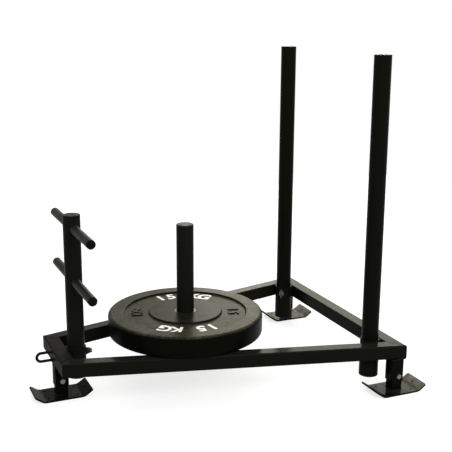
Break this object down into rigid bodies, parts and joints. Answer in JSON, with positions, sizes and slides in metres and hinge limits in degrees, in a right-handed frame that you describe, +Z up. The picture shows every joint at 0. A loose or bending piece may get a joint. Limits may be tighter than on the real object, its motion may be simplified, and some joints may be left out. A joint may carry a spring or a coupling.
{
  "type": "drag sled",
  "caption": "Low push and drag sled of square tube on bent skids, with upright push poles and a handle post in sleeves, a weight horn with a rubber plate, and a tow loop on the nose.",
  "frame": {"origin": "centre of the footprint's box, on the ground that the skids rest on", "axes": "+Z up, +X from the tow loop at the nose to the push poles at the rear, +Y across the sled to the far pole"},
  "size_m": [1.0456, 0.757, 0.94],
  "materials": {
    "frame_paint": "semi-gloss black paint with fine orange peel, scuffed at the edges",
    "pole_paint": "satin black paint on round tube",
    "skid_paint": "semi-gloss black paint, scratched and dusty on the sliding faces",
    "zinc": "zinc-plated steel fasteners",
    "hub_steel": "turned steel hub ring",
    "rubber": "matt moulded rubber with white numerals",
    "black_plastic": "moulded black plastic",
    "grey_plastic": "moulded grey plastic"
  },
  "bodies": {
    "sled_frame": {"near_side_rail": "frame_paint", "far_side_rail": "frame_paint", "nose_crossmember": "frame_paint", "rear_crossbar": "frame_paint", "centre_crossbar": "frame_paint", "weight_horn": "pole_paint", "horn_cap": "grey_plastic", "tow_loop": "frame_paint", "front_leg": "frame_paint", "front_skid_post": "skid_paint", "front_skid": "skid_paint", "front_skid_bolt": "zinc", "front_skid_washer": "zinc", "front_skid_nut": "zinc", "front_sleeve": "frame_paint", "front_sleeve_base": "frame_paint", "front_lock_nut": "frame_paint", "near_leg": "frame_paint", "near_skid_post": "skid_paint", "near_skid": "skid_paint", "near_skid_bolt": "zinc", "near_skid_washer": "zinc", "near_skid_nut": "zinc", "near_sleeve": "frame_paint", "near_sleeve_base": "frame_paint", "near_lock_nut": "frame_paint", "far_leg": "frame_paint", "far_skid_post": "skid_paint", "far_skid": "skid_paint", "far_skid_bolt": "zinc", "far_skid_washer": "zinc", "far_skid_nut": "zinc", "far_sleeve": "frame_paint", "far_sleeve_base": "frame_paint", "far_lock_nut": "frame_paint"},
    "handle_post_foot": {"front_post_foot": "black_plastic"},
    "handle_post": {"front_post": "pole_paint", "front_post_cap": "black_plastic", "upper_handle": "pole_paint", "upper_handle_near_cap": "black_plastic", "upper_handle_far_cap": "black_plastic", "lower_handle": "pole_paint", "lower_handle_near_cap": "black_plastic", "lower_handle_far_cap": "black_plastic"},
    "near_push_pole": {"near_push_pole": "pole_paint", "near_push_pole_cap": "black_plastic", "near_push_pole_foot": "black_plastic"},
    "far_push_pole": {"far_push_pole": "pole_paint", "far_push_pole_cap": "black_plastic", "far_push_pole_foot": "black_plastic"},
    "weight_plate": {"plate_rubber": "rubber", "plate_hub": "hub_steel"},
    "front_lock_screw": {"front_lock_screw": "zinc"},
    "front_lock_knob": {"front_lock_knob": "black_plastic"},
    "near_lock_screw": {"near_lock_screw": "zinc"},
    "near_lock_knob": {"near_lock_knob": "black_plastic"},
    "far_lock_screw": {"far_lock_screw": "zinc"},
    "far_lock_knob": {"far_lock_knob": "black_plastic"}
  },
  "joints": [
    {"name": "handle_post_lift", "type": "slide", "parent": "sled_frame", "child": "handle_post_foot", "axis": [0, 0, 1], "range_m": [0, 0.082]},
    {"name": "handle_post_turn", "type": "hinge", "parent": "handle_post_foot", "child": "handle_post", "pos_m": [-0.39395, 0, 0.05], "axis": [0, 0, 1], "continuous": true},
    {"name": "near_pole_lift", "type": "slide", "parent": "sled_frame", "child": "near_push_pole", "axis": [0, 0, 1], "range_m": [0, 0.102]},
    {"name": "far_pole_lift", "type": "slide", "parent": "sled_frame", "child": "far_push_pole", "axis": [0, 0, 1], "range_m": [0, 0.102]},
    {"name": "plate_lift", "type": "slide", "parent": "sled_frame", "child": "weight_plate", "axis": [0, 0, 1], "range_m": [0, 0.321]},
    {"name": "front_lock_travel", "type": "slide", "parent": "sled_frame", "child": "front_lock_screw", "axis": [1, 0, 0], "range_m": [0, 0.0045]},
    {"name": "front_knob_turn", "type": "hinge", "parent": "front_lock_screw", "child": "front_lock_knob", "pos_m": [-0.39395, 0, 0.1195], "axis": [1, 0, 0], "range_deg": [0, 1080]},
    {"name": "near_lock_travel", "type": "slide", "parent": "sled_frame", "child": "near_lock_screw", "axis": [0, 1, 0], "range_m": [0, 0.0045]},
    {"name": "near_knob_turn", "type": "hinge", "parent": "near_lock_screw", "child": "near_lock_knob", "pos_m": [0.39595, -0.27038, 0.1195], "axis": [0, 1, 0], "range_deg": [0, 1080]},
    {"name": "far_lock_travel", "type": "slide", "parent": "sled_frame", "child": "far_lock_screw", "axis": [-0.6129, -0.7902, 0], "range_m": [0, 0.0045]},
    {"name": "far_knob_turn", "type": "hinge", "parent": "far_lock_screw", "child": "far_lock_knob", "pos_m": [0.39595, 0.27038, 0.1195], "axis": [-0.6129, -0.7902, 0], "range_deg": [0, 1080]}
  ],
  "couplings": [
    {"joint": "front_knob_turn", "follows": "front_lock_travel", "rad_per_m": 4188.8},
    {"joint": "near_knob_turn", "follows": "near_lock_travel", "rad_per_m": 4188.8},
    {"joint": "far_knob_turn", "follows": "far_lock_travel", "rad_per_m": 4188.8}
  ]
}
